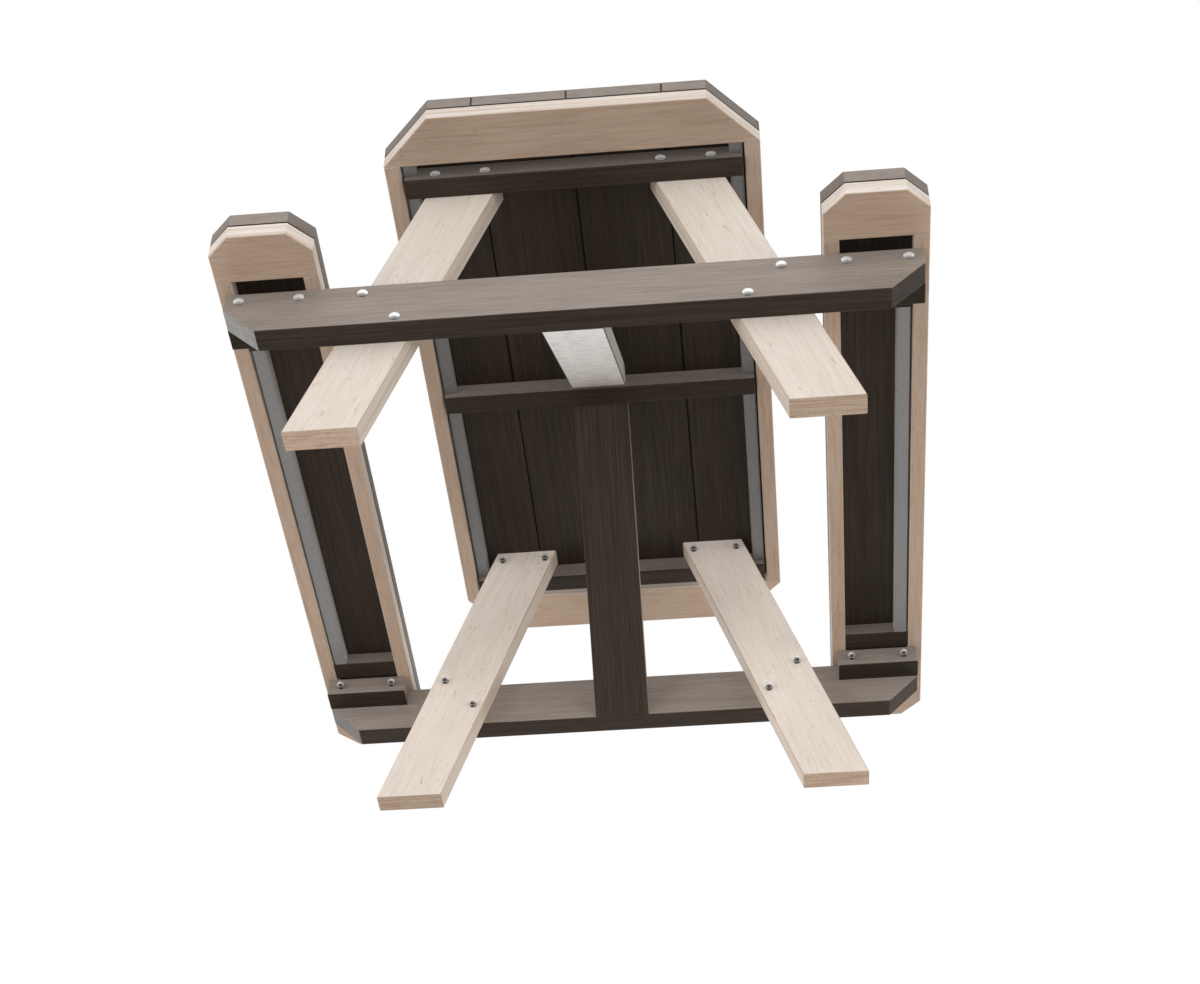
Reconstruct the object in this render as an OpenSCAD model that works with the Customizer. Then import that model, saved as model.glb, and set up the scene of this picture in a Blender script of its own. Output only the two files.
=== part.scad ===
// Child's picnic table: a plank top and two benches carried by two bolted A-frames.
// X runs across the table, Y along it and Z up. The origin is on the ground under the middle.

/* [Table top] */
// Length of the table top and of the benches along Y
top_l = 1146; // [1000:1:1500]
// Height of the top face above the ground
top_h = 557; // [480:1:640]
// Width of one plank
plank_w = 142.3; // [132:0.1:170]
// Thickness of a plank
plank_t = 25; // [18:0.5:32]
// Gap between neighbouring planks, which butt against each other at 0
plank_gap = 0; // [0:0.1:4]
// How far each corner is cut back across the top
corner_w = 76; // [40:1:110]
// Depth of the end boards
end_board_w = 85.2; // [60:0.2:100]
// Width of the side boards
side_board_w = 24; // [16:0.5:34]
// Thickness of the rim boards under the table planks
rim_t = 23.5; // [21.5:0.5:28]

/* [Cleats and rails] */
// Thickness of a cleat along the table
cleat_t = 36; // [28:0.5:44]
// Depth of a cleat below the planks
cleat_h = 31.2; // [28:0.2:40]
// Space between a cleat's end and the side board
cleat_end_gap = 4; // [1:0.5:8]
// Width of a rail tube
rail_w = 20.5; // [14:0.5:26]
// Height of a rail tube under the table top
rail_h = 19; // [14:0.5:21]
// Height of a rail tube under a bench
bench_rail_h = 23.2; // [16:0.2:24.2]
// Wall of a rail tube
rail_wall = 1.6; // [1:0.1:2.4]
// Outside corner radius of a rail tube
rail_r = 3; // [2.6:0.1:4]
// Space between a rail and the side board
rail_gap = 2.8; // [1:0.2:5]

/* [A-frames] */
// Space along Y between an end board and the cleat beside it
cleat_space = 20.6; // [4:0.2:60]
// Distance from the crossbeam's end in to a foot's outer corner
foot_in = 100.5; // [72:0.5:160]
// Distance from the centre line to a leg's outer corner at the top
leg_top_x = 220; // [190:1:230]
// Width of a leg
leg_w = 100.3; // [90:0.1:112]
// Thickness of a leg
leg_t = 36.5; // [28:0.5:44]
// Length of a crossbeam
beam_l = 1003; // [970:1:1020]
// Depth of a crossbeam
beam_h = 85.3; // [78:0.1:110]
// Thickness of a crossbeam
beam_t = 37.8; // [30:0.2:46]
// How far a crossbeam's lower corner is cut back along it
beam_corner_w = 52; // [20:1:80]
// How far a crossbeam's lower corner is cut back up its end
beam_corner_h = 51.3; // [20:0.1:65]

/* [Braces] */
// Width of a brace
brace_w = 89.2; // [60:0.2:120]
// Thickness of a brace
brace_t = 36; // [28:0.5:44]
// Height of a brace's underside above the lower edge of the middle cleat
brace_up = 5.9; // [2:0.1:12]

/* [Benches] */
// Height of the seat above the ground
bench_h = 308.4; // [270:0.2:340]
// Width of a bench
bench_w = 151; // [140:1:175]
// How far a bench reaches out beyond the crossbeam's end
bench_over = 9.9; // [2:0.1:20]
// Thickness of a bench plank
bench_plank_t = 26.7; // [18:0.1:34]
// Thickness of the rim boards under a bench plank
bench_rim_t = 25.2; // [24.6:0.1:30]
// How far each bench corner is cut back, both ways
bench_corner = 33; // [15:0.5:45]
// Depth of the bench end boards
bench_end_w = 82; // [50:1:100]
// Width of the bench side boards
bench_side_w = 23; // [16:0.5:28]
// Space under a bench cleat, above the crossbeam's level
bench_cleat_up = 1.6; // [0.4:0.2:4]
// Length of the block that joins a bench to its crossbeam
block_l = 132.8; // [120:0.2:140]
// Depth of the block
block_h = 34.3; // [30:0.1:45]
// Thickness of the block along the table
block_t = 38; // [30:0.5:46]

/* [Bolts] */
// Shank diameter of the carriage bolts
bolt_d = 6.35; // [5:0.05:7.5]
// Diameter of the domed head
head_d = 15.8; // [12:0.1:18]
// Height of the domed head
head_h = 3.8; // [2.5:0.1:5]
// Depth of the square neck below the head
neck_l = 4; // [2:0.5:6]
// Width across the flats of a cap nut
nut_w = 11.1; // [10.6:0.1:14]
// Height of the hexagon of a cap nut
nut_hex_h = 5.9; // [4:0.1:7]
// Diameter of the dome of a cap nut
nut_dome_d = 10.2; // [9.4:0.1:10.4]
// Full height of a cap nut
nut_h = 11.6; // [11.2:0.1:13]
// How far a bolt's end reaches into its nut
bolt_reach = 7.5; // [4:0.5:8]

/* [Hidden] */
plank_n = 4;
$fn = 48;

// Colours
dark = "#5b4e45";
light = "#dcc9b5";
steel = "#9a9a9a";
bright = "#c9c9c9";

// Eased edges, working clearances and the overrun of every cut
board_r = 2;
beam_corner_r = 3;
tip = 2.5;
board_chamfer = 1.3;
seam = 0.4;
notch_gap = 0.5;
notch_round = 1;
rail_end_gap = 0.5;
bolt_play = 0.5;
neck_play = 0.2;
nut_play = 0.1;
bore_spare = 0.5;
head_rim = 0.8;
cut = 5;

// Levels of the table top
top_w = plank_n * plank_w + (plank_n - 1) * plank_gap;
top_under = top_h - plank_t;
top_side_in = top_w / 2 - side_board_w;
top_end_in = top_l / 2 - end_board_w;
corner_l = end_board_w - tip;
top_rail_x = top_side_in - rail_gap - rail_w / 2;
cleat_under = top_under - cleat_h;
cleat_half = top_side_in - cleat_end_gap;

// The frames: the legs' outer faces, and the beams and cleats beyond them, are at this distance
frame_y = top_end_in - cleat_space - cleat_t;

// Levels of the benches, and the distance from the centre line to the middle of one
bench_x = beam_l / 2 + bench_over - bench_w / 2;
bench_under = bench_h - bench_plank_t;
bench_seat = bench_under - bench_rim_t;
bench_cleat_under = bench_seat + bench_cleat_up;
bench_end_in = top_l / 2 - bench_end_w;
bench_half_in = bench_w / 2 - bench_side_w;
bench_rail_x = bench_x + bench_half_in - rail_gap - rail_w / 2;
block_in_y = frame_y - block_t;
bench_cleat_y = block_in_y - cleat_t;

// Levels of the frames: crossbeams carry the benches, legs stand against their inner faces. A foot's
// outer corner is foot_x from the centre line
beam_under = bench_seat - beam_h;
foot_x = beam_l / 2 - foot_in;
leg_in_y = frame_y - leg_t;
leg_run = foot_x - leg_top_x;
leg_tilt = atan(leg_run / top_under);
leg_across = leg_w / cos(leg_tilt);

// Slope of the braces, from the crossbeams' lower edges up to the middle cleat
brace_top = cleat_under + brace_up;
brace_rise = brace_top - beam_under;
brace_run = frame_y - cleat_t / 2;
brace_tilt = atan(brace_rise / brace_run);
brace_len = norm([brace_rise, brace_run]);

// Bolt places: heights, and distances either side of a leg's centre line
cleat_bolt_up = 12.9;
cleat_bolt_out = 36.2;
cleat_bolt_in = 39.8;
beam_bolt_down = 16.9;
beam_bolt_up = 13.2;
beam_bolt_out = 33.3;
beam_bolt_in = 35.4;
block_bolt_edge = 22.7;
cleat_bolt_z = cleat_under + cleat_bolt_up;
bolt_high = bench_seat - beam_bolt_down;
bolt_low = beam_under + beam_bolt_up;

// Middle of the right leg at a height
function leg_mid(z) = foot_x - leg_run * z / top_under - leg_across / 2;

// Bolt centres on the right side as [x, z]; the left side has the same
cleat_bolts_at = [
    [leg_mid(cleat_bolt_z) + cleat_bolt_out, cleat_bolt_z],
    [leg_mid(cleat_bolt_z) - cleat_bolt_in, cleat_bolt_z]
];
beam_bolts_at = [
    [leg_mid(bolt_high) + beam_bolt_out, bolt_high],
    [leg_mid(bolt_low) - beam_bolt_in, bolt_low]
];
block_bolts_at = [
    [bench_x + block_l / 2 - block_bolt_edge, bolt_high],
    [bench_x - block_l / 2 + block_bolt_edge, bolt_high]
];

// A rectangle about the origin with four eased corners
module eased(w, t, r) {
    square([w, t - 2 * r], center = true);
    square([w - 2 * r, t], center = true);
    for (x = [r - w / 2, w / 2 - r])
        for (y = [r - t / 2, t / 2 - r])
            translate([x, y])
                circle(r = r);
}

// A bar along Y from y0 to y1, centred on x and standing on z
module bar_y(x, z, w, t, r, y0, y1) {
    translate([x, y1, z + t / 2])
        rotate([90, 0, 0])
            linear_extrude(y1 - y0)
                eased(w, t, r);
}

// A bar along X from x0 to x1, centred on y and standing on z
module bar_x(y, z, w, t, r, x0, x1) {
    translate([x0, y, z + t / 2])
        rotate([90, 0, 90])
            linear_extrude(x1 - x0)
                eased(w, t, r);
}

// A rod along Y from y0 to y1
module rod(at, d, y0, y1) {
    translate([at.x, y1, at.y])
        rotate([90, 0, 0])
            cylinder(d = d, h = y1 - y0);
}

// A prism along Z with rounded upright edges, centred on x and y
module plan(x, y, w, l, z, t, r) {
    translate([x, y, z])
        linear_extrude(t)
            eased(w, l, r);
}

// What is left when four corners are cut off a flat board: a slab across each diagonal, its edges
// chamfered where the others are rounded
module corner_cuts(x, z, w, l, t, cw, cl) {
    turn = atan(cw / cl);
    across = (w * cl + (l - 2 * cl) * cw) / norm([cw, cl]);
    intersection() {
        corner_slab(x, z, across, l, t, turn);
        corner_slab(x, z, across, l, t, -turn);
    }
}

module corner_slab(x, z, w, l, t, turn) {
    translate([x, 0, z])
        rotate([0, 0, turn])
            translate([0, l, 0])
                rotate([90, 0, 0])
                    linear_extrude(2 * l)
                        polygon([
                            [-w / 2, board_chamfer], [board_chamfer - w / 2, 0],
                            [w / 2 - board_chamfer, 0], [w / 2, board_chamfer],
                            [w / 2, t - board_chamfer], [w / 2 - board_chamfer, t],
                            [board_chamfer - w / 2, t], [-w / 2, t - board_chamfer]
                        ]);
}

// A convex outline moved inwards by r; its points run anticlockwise
function inward(a, b) = let (u = (b - a) / norm(b - a)) [-u.y, u.x];
function inset(pts, r) = [
    for (i = [0 : len(pts) - 1])
        let (
            n1 = inward(pts[(i + len(pts) - 1) % len(pts)], pts[i]),
            n2 = inward(pts[i], pts[(i + 1) % len(pts)])
        )
        pts[i] + r * (n1 + n2) / (1 + n1 * n2)
];

// The same outline with round corners of radius r
module round_outline(pts, r) {
    inner = inset(pts, r);
    polygon(inner);
    for (i = [0 : len(pts) - 1]) {
        a = inner[i];
        b = inner[(i + 1) % len(pts)];
        out = -r * inward(a, b);
        polygon([a, a + out, b + out, b]);
        translate(a)
            circle(r = r);
    }
}

// Shank holes through everything on the right side, from the outer face inwards
module shank_holes(places) {
    for (at = places)
        rod(at, bolt_d + bolt_play, leg_in_y - block_t, frame_y + beam_t + cut);
}

// Square sockets for the bolt necks in an outer face at y
module neck_sockets(places, y) {
    w = bolt_d + neck_play;
    for (at = places)
        translate([at.x - w / 2, y - neck_l - neck_play, at.y - w / 2])
            cube([w, neck_l + neck_play + cut, w]);
}

module both_sides() {
    children();
    mirror([1, 0, 0])
        children();
}

module near_end() {
    mirror([0, 1, 0])
        children();
}

module left_side() {
    mirror([1, 0, 0])
        children();
}

// Table top. The corner cuts stop just short of the end boards' inner edges, so their tips stay blunt
module top_corner_cuts(z, t) {
    corner_cuts(0, z, top_w, top_l, t, corner_w, corner_l);
}

module top_plank(i) {
    x = (i - (plank_n + 1) / 2) * (plank_w + plank_gap);
    color(dark)
        intersection() {
            bar_y(x, top_under, plank_w, plank_t, board_r, -top_l / 2 - cut, top_l / 2 + cut);
            bar_x(0, top_under, top_l, plank_t, board_r, x - plank_w / 2 - cut, x + plank_w / 2 + cut);
            plan(x, 0, plank_w, top_l, top_under, plank_t, board_r);
            top_corner_cuts(top_under, plank_t);
        }
}

module top_end_board() {
    z = top_under - rim_t;
    color(light)
        intersection() {
            bar_x(top_l / 2 - end_board_w / 2, z, end_board_w, rim_t, board_r,
                -top_w / 2 - cut, top_w / 2 + cut);
            bar_y(0, z, top_w, rim_t, board_r, 0, top_l);
            top_corner_cuts(z, rim_t);
        }
}

module top_side_board() {
    color(light)
        bar_y(top_w / 2 - side_board_w / 2, top_under - rim_t, side_board_w, rim_t, board_r,
            seam - top_end_in, top_end_in - seam);
}

// A square tube along Y, closed at its ends by the boards it butts against
module tube(x, z, h, y_end) {
    color(steel)
        difference() {
            bar_y(x, z, rail_w, h, rail_r, -y_end, y_end);
            bar_y(x, z + rail_wall, rail_w - 2 * rail_wall, h - 2 * rail_wall, rail_r - rail_wall,
                -y_end - cut, y_end + cut);
        }
}

module top_rail() {
    tube(top_rail_x, top_under - rail_h, rail_h, top_end_in - rail_end_gap);
}

// A notch round the rail, with a round inner corner, leaving a lip under the rail
module rail_notch(y0, y1) {
    x0 = top_rail_x - rail_w / 2 - notch_gap;
    z0 = top_under - rail_h - notch_gap;
    r = rail_r + notch_round;
    translate([0, y1, 0])
        rotate([90, 0, 0])
            linear_extrude(y1 - y0) {
                translate([x0 + r, z0])
                    square([cleat_half - x0 - r + cut, rail_h + notch_gap + cut]);
                translate([x0, z0 + r])
                    square([cleat_half - x0 + cut, rail_h + notch_gap - r + cut]);
                translate([x0 + r, z0 + r])
                    circle(r = r);
            }
}

module cleat(y) {
    difference() {
        bar_x(y, cleat_under, cleat_t, cleat_h, board_r, -cleat_half, cleat_half);
        both_sides()
            rail_notch(y - cleat_t / 2 - cut, y + cleat_t / 2 + cut);
    }
}

module top_cleat_end() {
    color(dark)
        difference() {
            cleat(frame_y + cleat_t / 2);
            both_sides()
                shank_holes(cleat_bolts_at);
            both_sides()
                neck_sockets(cleat_bolts_at, frame_y + cleat_t);
        }
}

module top_cleat_middle() {
    color(dark)
        cleat(0);
}

// Benches
module bench_corner_cuts(z, t) {
    corner_cuts(bench_x, z, bench_w, top_l, t, bench_corner, bench_corner);
}

module bench_plank() {
    color(dark)
        intersection() {
            bar_y(bench_x, bench_under, bench_w, bench_plank_t, board_r,
                -top_l / 2 - cut, top_l / 2 + cut);
            bar_x(0, bench_under, top_l, bench_plank_t, board_r,
                bench_x - bench_w / 2 - cut, bench_x + bench_w / 2 + cut);
            bench_corner_cuts(bench_under, bench_plank_t);
        }
}

module bench_end_board() {
    color(light)
        intersection() {
            bar_x(top_l / 2 - bench_end_w / 2, bench_seat, bench_end_w, bench_rim_t, board_r,
                bench_x - bench_w / 2 - cut, bench_x + bench_w / 2 + cut);
            bar_y(bench_x, bench_seat, bench_w, bench_rim_t, board_r, 0, top_l);
            bench_corner_cuts(bench_seat, bench_rim_t);
        }
}

module bench_side_board(x) {
    color(light)
        bar_y(x, bench_seat, bench_side_w, bench_rim_t, board_r, seam - bench_end_in, bench_end_in - seam);
}

module bench_side_board_inner() {
    bench_side_board(bench_x - bench_w / 2 + bench_side_w / 2);
}

module bench_side_board_outer() {
    bench_side_board(bench_x + bench_w / 2 - bench_side_w / 2);
}

module bench_rail() {
    tube(bench_rail_x, bench_under - bench_rail_h, bench_rail_h, bench_cleat_y - rail_end_gap);
}

module bench_cleat() {
    color(dark)
        bar_x(bench_cleat_y + cleat_t / 2, bench_cleat_under, cleat_t,
            bench_under - bench_cleat_under, board_r,
            bench_x - bench_half_in, bench_x + bench_half_in);
}

module bench_block() {
    z = bench_seat - block_h;
    color(dark)
        difference() {
            intersection() {
                bar_x(block_in_y + block_t / 2, z, block_t, block_h, board_r,
                    bench_x - block_l / 2, bench_x + block_l / 2);
                bar_y(bench_x, z, block_l, block_h, board_r, block_in_y, frame_y);
                plan(bench_x, block_in_y + block_t / 2, block_l, block_t, z, block_h, board_r);
            }
            shank_holes(block_bolts_at);
        }
}

// A-frames
module beam_outline() {
    x0 = beam_l / 2 - beam_corner_w;
    z0 = beam_under + beam_corner_h;
    round_outline([
        [-x0, beam_under], [x0, beam_under], [beam_l / 2, z0], [beam_l / 2, bench_seat],
        [-beam_l / 2, bench_seat], [-beam_l / 2, z0]
    ], beam_corner_r);
}

module crossbeam() {
    color(dark)
        difference() {
            intersection() {
                bar_x(frame_y + beam_t / 2, beam_under, beam_t, beam_h, board_r,
                    -beam_l / 2, beam_l / 2);
                plan(0, frame_y + beam_t / 2, beam_l, beam_t, beam_under, beam_h, board_r);
                translate([0, frame_y + beam_t, 0])
                    rotate([90, 0, 0])
                        linear_extrude(beam_t)
                            beam_outline();
            }
            both_sides()
                shank_holes(concat(beam_bolts_at, block_bolts_at));
            both_sides()
                neck_sockets(concat(beam_bolts_at, block_bolts_at), frame_y + beam_t);
        }
}

module leg() {
    color(light)
        difference() {
            intersection() {
                translate([leg_mid(0), leg_in_y + leg_t / 2, 0])
                    rotate([0, -leg_tilt, 0])
                        translate([0, 0, -leg_w])
                            linear_extrude(top_h + 2 * leg_w)
                                eased(leg_w, leg_t, board_r);
                translate([0, leg_in_y - cut, 0])
                    cube([foot_x + cut, leg_t + 2 * cut, top_under]);
            }
            shank_holes(concat(cleat_bolts_at, beam_bolts_at));
        }
}

// A plank on the flat, sawn upright at both ends and level where it meets the table planks
module brace() {
    color(dark)
        intersection() {
            translate([0, frame_y, beam_under])
                rotate([90 - brace_tilt, 0, 0])
                    translate([0, brace_t / 2, -brace_t])
                        linear_extrude(brace_len + 2 * brace_t)
                            eased(brace_w, brace_t, board_r);
            translate([-brace_w, cleat_t / 2, beam_under])
                cube([2 * brace_w, frame_y - cleat_t / 2, top_under - beam_under]);
        }
}

// A domed bolt head with a thin rim, standing on z = 0
module bolt_head() {
    rise = head_h - head_rim;
    r = (head_d * head_d / 4 + rise * rise) / (2 * rise);
    intersection() {
        cylinder(d = head_d, h = head_h);
        translate([0, 0, head_h - r])
            sphere(r = r);
    }
}

// A carriage bolt from its head on the face at y to its end at y_end
module bolt(at, y, y_end) {
    translate([at.x, y, at.y])
        rotate([-90, 0, 0])
            bolt_head();
    translate([at.x - bolt_d / 2, y - neck_l, at.y - bolt_d / 2])
        cube([bolt_d, neck_l, bolt_d]);
    rod(at, bolt_d, y_end, y);
}

// A cap nut whose flat face lies on y, its dome towards the middle of the table
module cap_nut(at, y) {
    dome_z = nut_h - nut_dome_d / 2;
    bore = bolt_d + nut_play;
    translate([at.x, y, at.y])
        rotate([90, 0, 0])
            difference() {
                union() {
                    cylinder(d = nut_w / cos(30), h = nut_hex_h, $fn = 6);
                    cylinder(d = nut_dome_d, h = dome_z);
                    translate([0, 0, dome_z])
                        sphere(d = nut_dome_d);
                }
                translate([0, 0, -cut])
                    cylinder(d = bore, h = bolt_reach + bore_spare + cut);
            }
}

// The same bolts or nuts at all four corners
module four_corners() {
    both_sides() {
        children();
        near_end()
            children();
    }
}

module cleat_bolts() {
    color(bright)
        four_corners()
            for (at = cleat_bolts_at)
                bolt(at, frame_y + cleat_t, leg_in_y - bolt_reach);
}

module crossbeam_bolts() {
    color(bright)
        four_corners()
            for (at = beam_bolts_at)
                bolt(at, frame_y + beam_t, leg_in_y - bolt_reach);
}

module block_bolts() {
    color(bright)
        four_corners()
            for (at = block_bolts_at)
                bolt(at, frame_y + beam_t, block_in_y - bolt_reach);
}

module cap_nuts(places, y) {
    color(bright)
        four_corners()
            for (at = places)
                cap_nut(at, y);
}

top_plank(1);  // top_plank_1
top_plank(2);  // top_plank_2
top_plank(3);  // top_plank_3
top_plank(4);  // top_plank_4
near_end() top_end_board();  // top_end_board_near
top_end_board();  // top_end_board_far
left_side() top_side_board();  // top_side_board_left
top_side_board();  // top_side_board_right
left_side() top_rail();  // top_rail_left
top_rail();  // top_rail_right
near_end() top_cleat_end();  // top_cleat_near
top_cleat_middle();
top_cleat_end();  // top_cleat_far
left_side() bench_plank();  // bench_plank_left
bench_plank();  // bench_plank_right
left_side() near_end() bench_end_board();  // bench_end_board_left_near
left_side() bench_end_board();  // bench_end_board_left_far
near_end() bench_end_board();  // bench_end_board_right_near
bench_end_board();  // bench_end_board_right_far
left_side() bench_side_board_inner();  // bench_side_board_left_inner
left_side() bench_side_board_outer();  // bench_side_board_left_outer
bench_side_board_inner();  // bench_side_board_right_inner
bench_side_board_outer();  // bench_side_board_right_outer
left_side() bench_rail();  // bench_rail_left
bench_rail();  // bench_rail_right
left_side() near_end() bench_cleat();  // bench_cleat_left_near
left_side() bench_cleat();  // bench_cleat_left_far
near_end() bench_cleat();  // bench_cleat_right_near
bench_cleat();  // bench_cleat_right_far
left_side() near_end() bench_block();  // bench_block_left_near
left_side() bench_block();  // bench_block_left_far
near_end() bench_block();  // bench_block_right_near
bench_block();  // bench_block_right_far
near_end() crossbeam();  // crossbeam_near
crossbeam();  // crossbeam_far
left_side() near_end() leg();  // leg_near_left
near_end() leg();  // leg_near_right
left_side() leg();  // leg_far_left
leg();  // leg_far_right
near_end() brace();  // brace_near
brace();  // brace_far
cleat_bolts();
crossbeam_bolts();
block_bolts();
cap_nuts(cleat_bolts_at, leg_in_y);  // cleat_cap_nuts
cap_nuts(beam_bolts_at, leg_in_y);  // crossbeam_cap_nuts
cap_nuts(block_bolts_at, block_in_y);  // block_cap_nuts
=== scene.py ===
"""The looks of the child's picnic table: stained planks, pale rim boards and legs, bolted frames."""
import math

import bpy
from mathutils import Matrix, Vector


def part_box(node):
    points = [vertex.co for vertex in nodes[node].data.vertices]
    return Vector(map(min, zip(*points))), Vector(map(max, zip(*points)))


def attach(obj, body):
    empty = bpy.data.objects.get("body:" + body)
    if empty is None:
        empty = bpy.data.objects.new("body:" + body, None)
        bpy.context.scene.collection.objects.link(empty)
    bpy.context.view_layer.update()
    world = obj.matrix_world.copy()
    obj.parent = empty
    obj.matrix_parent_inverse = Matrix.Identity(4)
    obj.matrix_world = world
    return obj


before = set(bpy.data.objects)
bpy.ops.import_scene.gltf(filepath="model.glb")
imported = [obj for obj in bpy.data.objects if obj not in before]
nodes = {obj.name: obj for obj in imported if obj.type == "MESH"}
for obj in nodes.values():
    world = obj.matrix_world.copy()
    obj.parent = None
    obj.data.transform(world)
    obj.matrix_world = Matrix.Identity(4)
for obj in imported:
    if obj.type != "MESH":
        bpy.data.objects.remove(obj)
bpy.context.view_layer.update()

# The photograph's camera, solved from the table's straight edges. It isn't rolled, and looks up at the
# table's middle.
IMAGE_W = 1200
FOCAL_PX = 2210
SENSOR_MM = 36.0
CAMERA_AT = Vector((0.2198, -2.4699, -2.2006))
CAMERA_AIM = Vector((0.0005, 0.0, 0.2774))
CAMERA_REACH = 60

# A pale floor, just under the feet
FLOOR_R = 14
FLOOR_SIDES = 96
FLOOR_Z = -0.0005
FLOOR_COLOUR = (0.9, 0.9, 0.9, 1)

# The studio's light from below, level and above
WORLD_BELOW = (0.27, 0.19, 0.12)
WORLD_LEVEL = (0.37, 0.365, 0.36)
WORLD_ABOVE = (0.38, 0.38, 0.38)

# Soft lamps without falloff: where each stands, seen from the table, and the light that it throws on a
# face turned to it. The fill lamp throws no shadows.
LAMPS = {
    "lamp_front": ((0.0, -1.0, -0.30), 0.28),
    "lamp_left": ((-1.0, -0.55, -0.10), 0.57),
    "lamp_right": ((1.0, -0.55, -0.10), 0.43),
    "lamp_back": ((0.0, 1.0, -0.15), 0.72),
    "lamp_above": ((0.3, -0.8, 1.2), 0.20),
}
FILL_LAMP = "lamp_front"
LAMP_ANGLE = math.radians(55)

# How each board's grain turns onto the X axis. Legs and braces slope.
LEG_TILT = math.radians(18.8)
BRACE_TILT = math.radians(39.1)
QUARTER = math.pi / 2
GRAIN = {
    "x": (0, 0, 0),
    "y": (0, 0, -QUARTER),
    "leg_left": (0, QUARTER - LEG_TILT, 0),
    "leg_right": (0, QUARTER + LEG_TILT, 0),
    "brace_near": (-BRACE_TILT, 0, -QUARTER),
    "brace_far": (BRACE_TILT, 0, QUARTER),
}

# Detail, roughness and distortion of each noise field, and the values that bound most of a field
FIELDS = {
    "fibre": (4.0, 0.62, 0.2),
    "band": (2.0, 0.5, 0.8),
    "layer": (1.0, 0.4, 0.3),
    "fleck": (2.0, 0.55, 0.0),
    "under_streak": (3.0, 0.6, 0.2),
    "sheen": (3.0, 0.55, 0.0),
    "cloud": (4.0, 0.6, 0.0),
}
FIELD_LOW, FIELD_HIGH = 0.3, 0.7

# How far the next board's pattern is moved on, so that no two boards are alike
NEXT_BOARD = (3.7, 1.9, 2.3)

# Changes of roughness in a field's lows and highs, the depth of the bumps in metres, and the tone of a
# metal's worn places
WOOD_ROUGH = (0.08, -0.06)
METAL_ROUGH = (0.05, -0.05)
WOOD_BUMP = 0.0005
METAL_BUMP = 0.0003
METAL_WORN = 0.9

# Boards differ a little in tone, and some tones are painted light and shade: the far legs, the far
# crossbeam and the far end board are lifted against the shadow that they stand in, and the cleats are
# darkened as painted shade under the top. A tone counts for each board whose name holds its key, and the
# under shade tones only for the painted shade on faces that look down.
TONES_AND_PAINTED_LIGHT = {
    "crossbeam": 1.10,
    "crossbeam_far": 1.06,
    "cleat": 0.76,
    "top_cleat_near": 0.82,
    "brace": 1.14,
    "bench_plank": 1.05,
    "bench_plank_left": 1.08,
    "leg_far": 1.13,
    "end_board": 0.96,
    "bench_end_board": 1.04,
    "top_end_board_far": 1.14,
    "side_board": 1.03,
}
UNDER_SHADE_TONES = {
    "crossbeam_far": 1.12,
    "cleat": 1.38,
    "top_cleat_near": 1.25,
    "brace_far": 1.06,
    "block": 0.86,
    "top_end_board_near": 0.93,
    "top_end_board_far": 0.92,
    "top_side_board": 0.91,
    "bench_side_board": 0.95,
    "leg_near_left": 1.14,
    "leg_far_left": 0.85,
}

# The legs' eased edges are browner. The planks' sides and cut corners are darker than their ends, and
# their lower edges are dark: painted shade, standing in for the shadow in the gaps beside them.
BROWN_EDGE = (0.78, 0.66, 0.56)
PLANK_SIDE = 0.70
PLANK_LOWER_EDGE_SHADE = 0.35

# Painted shade in the seams between the table planks. Its reach is in shares of the planks' spacing.
SEAM_PITCH = 0.1423
SEAM_SHADED = 0.007
SEAM_UNSHADED = 0.015
SEAM_SHADE = 0.3

# Three dark boards have a painted sheen: a silvery grey painted into their colour where they are seen
# edge-on, standing in for a reflection. For each: the share of edge-on at which it starts, the share at
# which it is full, and how strong it is then. It ripples along the grain. The near brace also has more of
# the shader's own sheen.
PAINTED_SHEENS = {
    "brace_near": (0.50, 0.74, 1.0),
    "crossbeam_near": (0.50, 0.74, 0.60),
    "crossbeam_far": (0.57, 0.76, 0.25),
}
PAINTED_SHEEN_SCALE = (110, 42, 42)
PAINTED_SHEEN_RAMP = [(0.32, (0.74, 0.77, 0.79)), (0.62, (0.96, 0.99, 1.0))]
SHEEN_ROUGH = 0.2
BRACE_SHEEN = 0.65

# Which faces an effect shows on. A face's direction has parts along X, Y and Z. Each pair says at which
# size of a part the effect is none, and at which it is full; two pairs leave a band between them.
BRACE_FLAT_X = (0.3, 0.1)
LEFT_CUT_X = (-0.3, -0.5)
LEFT_CUT_Y = (0.3, 0.1)
LAYERS_FLAT = (0.9, 0.1)
LEG_EDGE_FLAT = ((0.2, 0.5), (0.995, 0.9))
PLANK_SIDE_X = (0.2, 0.6)
PLANK_LOWER_EDGE_SHADE_Z = ((-0.05, -0.2), (-0.995, -0.93))

# Deck screws on the top and the seats, in metres: low round heads with square sockets. The number of
# sides is a multiple of 8.
SCREW_R = 0.0042
SCREW_TOP_R = 0.0034
SCREW_UP = 0.0009
SCREW_DOWN = -0.0005
SOCKET_R = 0.0016
SOCKET_FLOOR = 0.0002
SCREW_SIDES = 16
SCREW_INSET = 0.022
BENCH_SCREW_INSET = 0.035
CORNER_SCREW_INSET = 0.062
TOP_PLANKS = 4


def grey(value):
    return (value, value, value)


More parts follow.
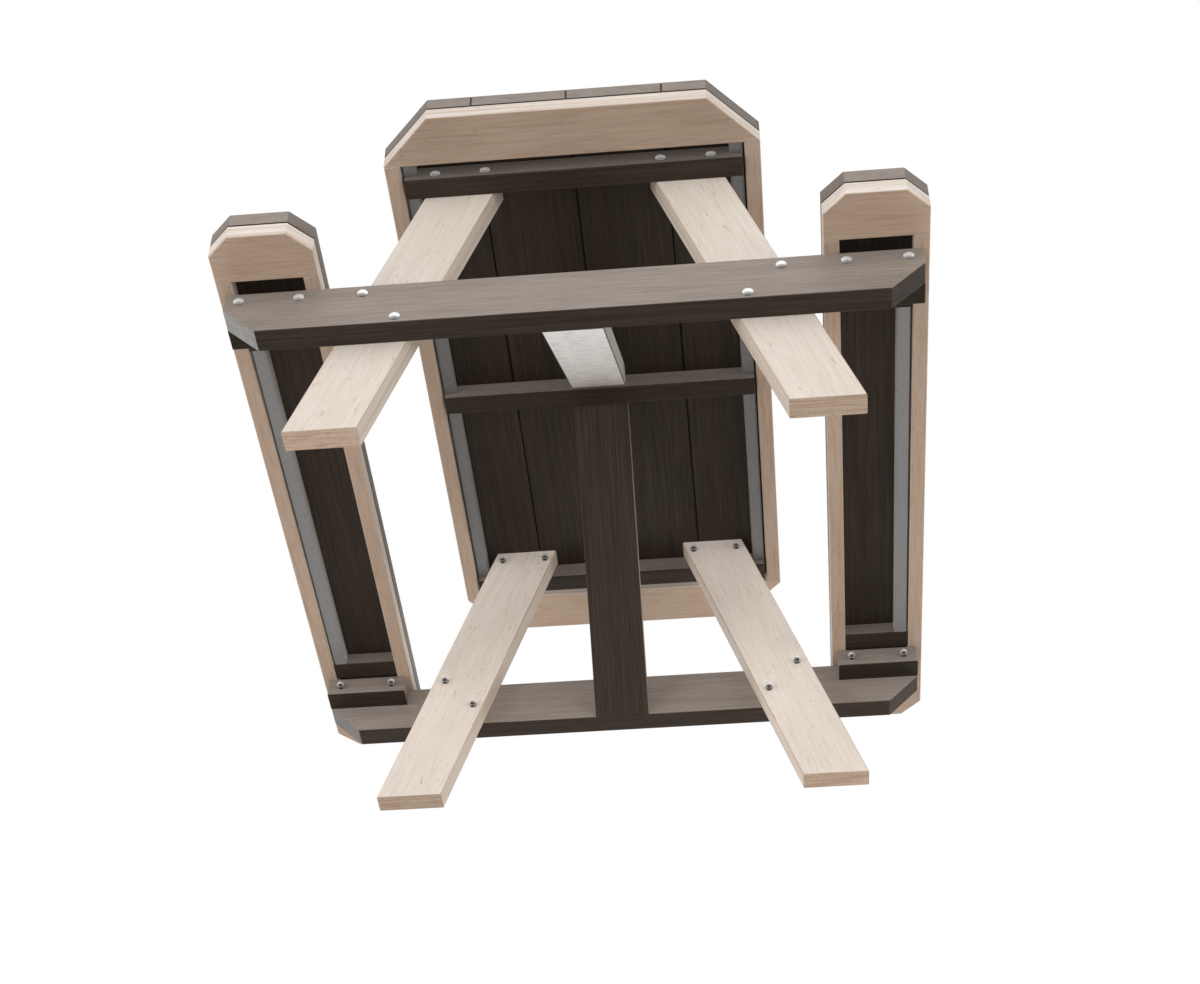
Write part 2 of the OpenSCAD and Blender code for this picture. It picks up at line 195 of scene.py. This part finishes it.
# Looks of the timbers. Scales are per metre along the grain, across the board and through it. Faces that
# look down take painted shade: the underside's darker, streaked colours, in full where a face's direction's
# Z is the first under_z or lower, and none of them from the second up.
DARK = {
    "fibre_scale": (14, 620, 620),
    "fibre_ramp": [(0.25, (0.190, 0.163, 0.141)), (0.5, (0.245, 0.212, 0.185)),
                   (0.78, (0.305, 0.267, 0.237))],
    "under_z": (-0.30, -0.05),
    "under_streak_scale": (5, 260, 260),
    "shaded_under_streak_ramp": [(0.30, (0.128, 0.113, 0.099)), (0.50, (0.168, 0.148, 0.130)),
                          (0.72, (0.232, 0.204, 0.180))],
    "band_scale": (2.2, 34, 60),
    "band_ramp": [(0.3, grey(0.88)), (0.6, grey(1.0))],
    "layer_scale": (1.5, 8, 170),
    "layer_ramp": [(0.30, grey(0.86)), (0.42, grey(1.0))],
    "fleck_scale": (60, 900, 900),
    "fleck_ramp": [(0.3, grey(0.84)), (0.45, grey(1.0))],
    "rough": 0.5,
    "specular": 0.2,
    "sheen": 0.1,
    "bump": 0.15,
}
LIGHT = {
    "fibre_scale": (18, 420, 420),
    "fibre_ramp": [(0.25, (0.625, 0.560, 0.508)), (0.5, (0.690, 0.636, 0.592)),
                   (0.8, (0.728, 0.680, 0.640))],
    "under_z": (-0.85, -0.45),
    "under_streak_scale": (14, 210, 210),
    "shaded_under_streak_ramp": [(0.27, (0.75, 0.61, 0.51)), (0.46, (0.895, 0.765, 0.660)),
                          (0.75, (0.97, 0.85, 0.75))],
    "band_scale": (3.0, 30, 60),
    "band_ramp": [(0.3, (0.96, 0.95, 0.94)), (0.6, grey(1.0))],
    "layer_scale": (1.2, 9, 240),
    "layer_ramp": [(0.36, grey(1.0)), (0.43, (0.84, 0.76, 0.68)), (0.47, (0.84, 0.76, 0.68)),
                   (0.55, grey(1.0))],
    "fleck_scale": (55, 260, 260),
    "fleck_ramp": [(0.26, (0.80, 0.71, 0.63)), (0.36, grey(1.0))],
    "rough": 0.55,
    "specular": 0.35,
    "sheen": 0.0,
    "bump": 0.08,
}
LEG = {
    **LIGHT,
    "fibre_ramp": [(0.25, (0.600, 0.530, 0.465)), (0.5, (0.672, 0.608, 0.548)),
                   (0.8, (0.722, 0.662, 0.606))],
    "shaded_under_streak_ramp": [(0.30, (0.86, 0.76, 0.68)), (0.48, (0.94, 0.86, 0.80)),
                          (0.75, (1.0, 0.93, 0.87))],
}

# Looks of the metals. Their greys are painted reflection, dark below and pale above, that stand for what
# the metal mirrors; they run from faces that look straight down (0) to faces that look straight up (1).
RAIL_PAINTED_REFLECTION = [(0.1, (0.455, 0.47, 0.49)), (0.42, grey(1.0))]
BOLT_PAINTED_REFLECTION = [(0.12, grey(0.07)), (0.31, grey(0.38)), (0.45, grey(1.0))]
METALS = {
    "rail_steel": {"colour": grey(0.80), "rough": 0.45, "metallic": 0.4, "cloud_scale": 120,
                   "bump": 0.1, "painted_reflection": RAIL_PAINTED_REFLECTION},
    # The top rails' steel is darker: painted shade, for their place deep under the table top
    "shaded_rail_steel": {"colour": grey(0.60), "rough": 0.5, "metallic": 0.4, "cloud_scale": 120,
                        "bump": 0.1, "painted_reflection": RAIL_PAINTED_REFLECTION},
    "bright_zinc": {"colour": grey(0.97), "rough": 0.28, "metallic": 0.35, "cloud_scale": 120,
                    "bump": 0.02, "painted_reflection": BOLT_PAINTED_REFLECTION},
    "screw_zinc": {"colour": grey(0.50), "rough": 0.35, "metallic": 1.0, "cloud_scale": 300,
                   "bump": 0.05},
}


def empty_tree(owner):
    """The node tree of a material or world, without the nodes that Blender puts there."""
    owner.use_nodes = True
    owner.node_tree.nodes.clear()
    return owner.node_tree


def new_material(name):
    """A node material, its node tree and its Principled shader."""
    material = bpy.data.materials.new(name)
    tree = empty_tree(material)
    shader = tree.nodes.new("ShaderNodeBsdfPrincipled")
    out = tree.nodes.new("ShaderNodeOutputMaterial")
    tree.links.new(shader.outputs["BSDF"], out.inputs["Surface"])
    return material, tree, shader


def mapped(tree, scale, turn=(0, 0, 0), shift=(0, 0, 0)):
    """Object coordinates turned so that the grain runs along X, then stretched and shifted."""
    coords = tree.nodes.new("ShaderNodeTexCoord")
    turned = tree.nodes.new("ShaderNodeMapping")
    turned.inputs["Rotation"].default_value = turn
    tree.links.new(coords.outputs["Object"], turned.inputs["Vector"])
    stretched = tree.nodes.new("ShaderNodeMapping")
    stretched.inputs["Scale"].default_value = scale
    stretched.inputs["Location"].default_value = shift
    tree.links.new(turned.outputs["Vector"], stretched.inputs["Vector"])
    return stretched.outputs["Vector"]


def noise(tree, vector, kind):
    """The noise field of a kind on a stretched vector."""
    detail, roughness, distortion = FIELDS[kind]
    node = tree.nodes.new("ShaderNodeTexNoise")
    node.inputs["Scale"].default_value = 1.0
    node.inputs["Detail"].default_value = detail
    node.inputs["Roughness"].default_value = roughness
    node.inputs["Distortion"].default_value = distortion
    tree.links.new(vector, node.inputs["Vector"])
    return node.outputs["Fac"]


def ramp(tree, fac, stops):
    """A colour ramp with (position, colour) stops."""
    node = tree.nodes.new("ShaderNodeValToRGB")
    elements = node.color_ramp.elements
    while len(elements) < len(stops):
        elements.new(0.5)
    for element, (position, colour) in zip(elements, stops):
        element.position = position
        element.color = (*colour, 1.0)
    tree.links.new(fac, node.inputs["Fac"])
    return node.outputs["Color"]


def mix(tree, kind, fac, a, b):
    """A colour mix; fac may be a number or a socket, a and b a colour or a socket."""
    node = tree.nodes.new("ShaderNodeMix")
    node.data_type = "RGBA"
    node.blend_type = kind
    if isinstance(fac, (int, float)):
        node.inputs[0].default_value = fac
    else:
        tree.links.new(fac, node.inputs[0])
    # A mix node's colours are its sockets 6 and 7, and its mixed colour is its output 2
    for socket, value in ((node.inputs[6], a), (node.inputs[7], b)):
        if isinstance(value, tuple):
            socket.default_value = (*value, 1.0)
        else:
            tree.links.new(value, socket)
    return node.outputs[2]


def tint(tree, colour, tone, fac=1.0):
    """The colour times a tone, as far as fac says."""
    return mix(tree, "MULTIPLY", fac, colour, tone)


def calc(tree, operation, *values):
    """One step of arithmetic on values, each a number or a socket."""
    node = tree.nodes.new("ShaderNodeMath")
    node.operation = operation
    for slot, value in zip(node.inputs, values):
        if isinstance(value, (int, float)):
            slot.default_value = value
        else:
            tree.links.new(value, slot)
    return node.outputs[0]


def any_of(tree, first, *others):
    """1 where any of the sockets is 1."""
    for socket in others:
        first = calc(tree, "MAXIMUM", first, socket)
    return first


def share(tree, value, none_at, full_at):
    """0 where the value is none_at or beyond, 1 at full_at, smooth between."""
    node = tree.nodes.new("ShaderNodeMapRange")
    node.interpolation_type = "SMOOTHSTEP"
    node.inputs["From Min"].default_value = none_at
    node.inputs["From Max"].default_value = full_at
    tree.links.new(value, node.inputs["Value"])
    return node.outputs["Result"]


def band(tree, value, first, second):
    """The product of two shares: full in the band that they leave."""
    return calc(tree, "MULTIPLY", share(tree, value, *first), share(tree, value, *second))


def parts(tree, kind):
    """X, Y and Z of a place (Object), of a face's direction (Normal) or of a ray's (Generated)."""
    coords = tree.nodes.new("ShaderNodeTexCoord")
    split = tree.nodes.new("ShaderNodeSeparateXYZ")
    tree.links.new(coords.outputs[kind], split.inputs["Vector"])
    return split.outputs


def uprightness(tree, z):
    """0 for a direction straight down, 0.5 for a level one, 1 for one straight up."""
    return calc(tree, "MULTIPLY_ADD", z, 0.5, 0.5)


def roughen(tree, shader, field, rough, changes):
    """Roughness that follows a field: the first change counts in its lows, the second in its highs."""
    at_low, at_high = changes
    stops = [(FIELD_LOW, grey(rough + at_low)), (FIELD_HIGH, grey(rough + at_high))]
    tree.links.new(ramp(tree, field, stops), shader.inputs["Roughness"])


def bump(tree, shader, height, strength, distance):
    """Bumps that follow a field."""
    node = tree.nodes.new("ShaderNodeBump")
    node.inputs["Strength"].default_value = strength
    node.inputs["Distance"].default_value = distance
    tree.links.new(height, node.inputs["Height"])
    tree.links.new(node.outputs["Normal"], shader.inputs["Normal"])


def switch(tree, fac, off, on, out):
    """Gives the output one shader where fac is 0 and the other where it is 1."""
    choose = tree.nodes.new("ShaderNodeMixShader")
    tree.links.new(fac, choose.inputs["Fac"])
    tree.links.new(off.outputs[0], choose.inputs[1])
    tree.links.new(on.outputs[0], choose.inputs[2])
    tree.links.new(choose.outputs["Shader"], out.inputs["Surface"])


def look_of(name):
    """The legs' own pale timber, the boards' pale one, or the dark one of all the rest."""
    if name.startswith("leg"):
        return LEG
    return LIGHT if "board" in name else DARK


def grain_of(name):
    """The turn that brings a board's grain onto the X axis."""
    if name.startswith("leg"):
        return GRAIN["leg_left" if name.endswith("left") else "leg_right"]
    if name.startswith("brace"):
        return GRAIN[name]
    along_y = "plank" in name or "side_board" in name
    return GRAIN["y" if along_y else "x"]


def flat_along_y(name):
    """Legs, crossbeams, cleats and blocks stand on edge, so their thickness lies along Y."""
    return not any(kind in name for kind in ("plank", "board", "brace"))


def tone_of(name, tones):
    """The product of the tones whose names are part of the name."""
    return math.prod(value for part, value in tones.items() if part in name)


def sheen(tree, name):
    """How much painted sheen a dark board has: on the brace's flat underside and the crossbeams' left cuts.
    """
    start, full, strength = PAINTED_SHEENS[name]
    facing = tree.nodes.new("ShaderNodeLayerWeight")
    seen = share(tree, facing.outputs["Facing"], start, full)
    x, y, _ = parts(tree, "Normal")
    if name.startswith("brace"):
        place = share(tree, calc(tree, "ABSOLUTE", x), *BRACE_FLAT_X)
    else:
        level = share(tree, calc(tree, "ABSOLUTE", y), *LEFT_CUT_Y)
        place = calc(tree, "MULTIPLY", share(tree, x, *LEFT_CUT_X), level)
    return calc(tree, "MULTIPLY", calc(tree, "MULTIPLY", seen, place), strength)


def seam_shade(tree):
    """Grey painted shade that darkens the seams between the table planks."""
    nearest = calc(tree, "PINGPONG", calc(tree, "DIVIDE", parts(tree, "Object")["X"], SEAM_PITCH), 0.5)
    return ramp(tree, nearest, [(SEAM_SHADED, grey(SEAM_SHADE)), (SEAM_UNSHADED, grey(1.0))])


def browner_edges_and_painted_shade(tree, name, colour, flat):
    """The legs' browner edges, and on the planks: painted shade in the seams and on the lower edges, and
    darker sides.
    """
    if name.startswith("leg"):
        colour = tint(tree, colour, BROWN_EDGE, band(tree, flat, *LEG_EDGE_FLAT))
    # Painted shade in the top planks' seams
    if "top_plank" in name:
        colour = tint(tree, colour, seam_shade(tree))
    if "plank" in name:
        x, _, z = parts(tree, "Normal")
        side = share(tree, calc(tree, "ABSOLUTE", x), *PLANK_SIDE_X)
        colour = tint(tree, colour, grey(PLANK_SIDE), side)
        # Painted shade on the planks' lower edges
        colour = tint(tree, colour, grey(PLANK_LOWER_EDGE_SHADE), band(tree, z, *PLANK_LOWER_EDGE_SHADE_Z))
    return colour


def wood(name, seed):
    """Timber sawn flat: fine fibres and flecks along the grain, and layers that show on edges and ends."""
    look, turn, flat_y = look_of(name), grain_of(name), flat_along_y(name)
    material, tree, shader = new_material("timber_" + name)
    shift = tuple(seed * step for step in NEXT_BOARD)
    _, y, z = parts(tree, "Normal")
    flat = calc(tree, "ABSOLUTE", y if flat_y else z)

    def field(kind):
        along, across, through = look[kind + "_scale"]
        scale = (along, through, across) if flat_y else (along, across, through)
        return noise(tree, mapped(tree, scale, turn, shift), kind)

    fibres = field("fibre")
    colour = ramp(tree, fibres, look["fibre_ramp"])
    # Faces that look down take painted shade: a darker, streaked copy of the timber's colour
    under = tint(tree, colour, ramp(tree, field("under_streak"), look["shaded_under_streak_ramp"]))
    under = tint(tree, under, grey(tone_of(name, UNDER_SHADE_TONES)))
    # Painted sheen: a silvery grey painted into the underside's colour where it is seen edge-on
    if name in PAINTED_SHEENS:
        ripples = ramp(tree, noise(tree, mapped(tree, PAINTED_SHEEN_SCALE, turn), "sheen"), PAINTED_SHEEN_RAMP)
        under = mix(tree, "MIX", sheen(tree, name), under, ripples)
    colour = mix(tree, "MIX", share(tree, z, *look["under_z"]), under, colour)
    for kind in ("band", "fleck"):
        colour = tint(tree, colour, ramp(tree, field(kind), look[kind + "_ramp"]))
    layers = ramp(tree, field("layer"), look["layer_ramp"])
    colour = tint(tree, colour, layers, share(tree, flat, *LAYERS_FLAT))
    colour = browner_edges_and_painted_shade(tree, name, colour, flat)
    # Tones, some of them painted light and shade on whole boards
    colour = tint(tree, colour, grey(tone_of(name, TONES_AND_PAINTED_LIGHT)))
    tree.links.new(colour, shader.inputs["Base Color"])
    roughen(tree, shader, fibres, look["rough"], WOOD_ROUGH)
    shader.inputs["Specular IOR Level"].default_value = look["specular"]
    shader.inputs["Sheen Weight"].default_value = BRACE_SHEEN if name == "brace_near" else look["sheen"]
    shader.inputs["Sheen Roughness"].default_value = SHEEN_ROUGH
    bump(tree, shader, fibres, look["bump"], WOOD_BUMP)
    return material


def metal(name):
    """Plain metal with faint cloudy worn patches in its colour and roughness, and a painted reflection
    where its look has one.
    """
    look = METALS[name]
    material, tree, shader = new_material(name)
    cloud = noise(tree, mapped(tree, (look["cloud_scale"],) * 3), "cloud")
    worn = tuple(part * METAL_WORN for part in look["colour"])
    colour = ramp(tree, cloud, [(FIELD_LOW, worn), (FIELD_HIGH, look["colour"])])
    # Painted reflection: greys by the face's direction, dark on faces that look down, pale on faces that
    # look up
    if "painted_reflection" in look:
        z = parts(tree, "Normal")["Z"]
        colour = tint(tree, colour, ramp(tree, uprightness(tree, z), look["painted_reflection"]))
    tree.links.new(colour, shader.inputs["Base Color"])
    roughen(tree, shader, cloud, look["rough"], METAL_ROUGH)
    shader.inputs["Metallic"].default_value = look["metallic"]
    bump(tree, shader, cloud, look["bump"], METAL_BUMP)
    return material


def dress_nodes():
    """Gives every CAD node its material: its own timber, the rail steel or the bright fasteners."""
    steel, shaded_steel, zinc = metal("rail_steel"), metal("shaded_rail_steel"), metal("bright_zinc")
    for seed, (name, node) in enumerate(sorted(nodes.items()), start=1):
        if "rail" in name:
            # The top rails take the darker steel, as painted shade
            material = shaded_steel if name.startswith("top") else steel
        elif name.endswith(("bolts", "nuts")):
            material = zinc
        else:
            material = wood(name, seed)
        node.data.materials.clear()
        node.data.materials.append(material)


def middle_y(node):
    low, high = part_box(node)
    return (low.y + high.y) / 2


def top_screw_places():
    """Two screws in each plank over each cleat and end board, clear of the cut corners."""
    places = []
    for i in range(1, TOP_PLANKS + 1):
        low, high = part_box("top_plank_%d" % i)
        for row in ("cleat_near", "cleat_middle", "cleat_far", "end_board_near", "end_board_far"):
            left, right = low.x + SCREW_INSET, high.x - SCREW_INSET
            if "end_board" in row and i == 1:
                left = low.x + CORNER_SCREW_INSET
            if "end_board" in row and i == TOP_PLANKS:
                right = high.x - CORNER_SCREW_INSET
            y = middle_y("top_" + row)
            places += [(left, y, high.z), (right, y, high.z)]
    return places


def bench_screw_places():
    """Two screws in each seat over each bench cleat and end board."""
    places = []
    for side in ("left", "right"):
        low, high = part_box("bench_plank_" + side)
        for row in ("bench_cleat_%s_near", "bench_cleat_%s_far",
                    "bench_end_board_%s_near", "bench_end_board_%s_far"):
            y = middle_y(row % side)
            places += [(low.x + BENCH_SCREW_INSET, y, high.z), (high.x - BENCH_SCREW_INSET, y, high.z)]
    return places


def screw_ring(at, radius, up, count):
    """Points of a level ring round a place."""
    x, y, z = at
    turns = [2 * math.pi * k / count for k in range(count)]
    return [(x + radius * math.cos(a), y + radius * math.sin(a), z + up) for a in turns]


def deck_screws(name, places, material):
    """All screw heads of one surface as one piece; each head is a closed shape."""
    verts, faces = [], []
    n = SCREW_SIDES
    quarter, eighth = n // 4, n // 8
    for at in places:
        base = len(verts)
        top, socket, floor = base + n, base + 2 * n, base + 2 * n + 4
        verts += screw_ring(at, SCREW_R, SCREW_DOWN, n) + screw_ring(at, SCREW_TOP_R, SCREW_UP, n)
        verts += screw_ring(at, SOCKET_R, SCREW_UP, 4) + screw_ring(at, SOCKET_R, SOCKET_FLOOR, 4)
        faces.append([base + k for k in reversed(range(n))])
        faces.append([floor + c for c in range(4)])
        for k in range(n):
            after = (k + 1) % n
            corner = (k + eighth) // quarter % 4
            faces.append((base + k, base + after, top + after, top + k))
            # The head's top fans out from the nearest corner of the socket
            faces.append((top + k, top + after, socket + corner))
            if (k + eighth) % quarter == 0:
                faces.append((top + k, socket + corner, socket + (corner - 1) % 4))
        for c in range(4):
            after = (c + 1) % 4
            faces.append((socket + c, socket + after, floor + after, floor + c))
    mesh = bpy.data.meshes.new(name)
    mesh.from_pydata(verts, [], faces)
    mesh.materials.append(material)
    piece = bpy.data.objects.new(name, mesh)
    bpy.context.collection.objects.link(piece)
    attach(piece, "root")


def make_floor():
    """A pale floor. It is clear from below, where the photograph is taken from, and lets light through
    from below, as the photograph has it."""
    bpy.ops.mesh.primitive_circle_add(vertices=FLOOR_SIDES, radius=FLOOR_R, fill_type="NGON",
                                      location=(0, 0, FLOOR_Z))
    floor = bpy.context.object
    floor.name = "floor"
    material = bpy.data.materials.new("pale_floor")
    tree = empty_tree(material)
    out = tree.nodes.new("ShaderNodeOutputMaterial")
    pale = tree.nodes.new("ShaderNodeBsdfDiffuse")
    pale.inputs["Color"].default_value = FLOOR_COLOUR
    clear = tree.nodes.new("ShaderNodeBsdfTransparent")
    path = tree.nodes.new("ShaderNodeLightPath")
    side = tree.nodes.new("ShaderNodeNewGeometry")
    through = any_of(tree, path.outputs["Is Diffuse Ray"], path.outputs["Is Shadow Ray"],
                     side.outputs["Backfacing"])
    switch(tree, through, pale, clear, out)
    floor.data.materials.append(material)


def make_world():
    """White to the camera and in reflections. As light it is even from level up, and warm and dim below."""
    world = bpy.data.worlds.new("studio")
    bpy.context.scene.world = world
    tree = empty_tree(world)
    out = tree.nodes.new("ShaderNodeOutputWorld")
    height = uprightness(tree, parts(tree, "Generated")["Z"])
    stops = [(0.0, WORLD_BELOW), (0.5, WORLD_LEVEL), (1.0, WORLD_ABOVE)]
    lit = tree.nodes.new("ShaderNodeBackground")
    tree.links.new(ramp(tree, height, stops), lit.inputs["Color"])
    white = tree.nodes.new("ShaderNodeBackground")
    white.inputs["Color"].default_value = (1, 1, 1, 1)
    path = tree.nodes.new("ShaderNodeLightPath")
    seen = any_of(tree, path.outputs["Is Camera Ray"], path.outputs["Is Glossy Ray"],
                  path.outputs["Is Transmission Ray"])
    switch(tree, seen, lit, white, out)


def make_lamps():
    """Wide soft lamps round the table. A strength of pi throws a light of 1 on a face turned to the lamp.
    The low lamps don't show in reflections."""
    for name, (at, light) in LAMPS.items():
        data = bpy.data.lights.new(name, "SUN")
        data.angle = LAMP_ANGLE
        data.energy = math.pi * light
        data.use_shadow = name != FILL_LAMP
        lamp = bpy.data.objects.new(name, data)
        bpy.context.collection.objects.link(lamp)
        lamp.rotation_euler = (-Vector(at)).to_track_quat("-Z", "Y").to_euler()
        lamp.visible_glossy = at[2] > 0


def make_camera():
    """The photograph's camera."""
    data = bpy.data.cameras.new("camera")
    data.sensor_fit = "HORIZONTAL"
    data.sensor_width = SENSOR_MM
    data.lens = FOCAL_PX / IMAGE_W * SENSOR_MM
    data.clip_end = CAMERA_REACH
    camera = bpy.data.objects.new("camera", data)
    bpy.context.collection.objects.link(camera)
    turn = (CAMERA_AIM - CAMERA_AT).to_track_quat("-Z", "Y")
    camera.matrix_world = Matrix.LocRotScale(CAMERA_AT, turn, None)
    bpy.context.scene.camera = camera


dress_nodes()
screw_zinc = metal("screw_zinc")
deck_screws("top_deck_screws", top_screw_places(), screw_zinc)
deck_screws("bench_deck_screws", bench_screw_places(), screw_zinc)
make_floor()
make_world()
make_lamps()
make_camera()
bpy.context.scene.view_settings.view_transform = "Standard"
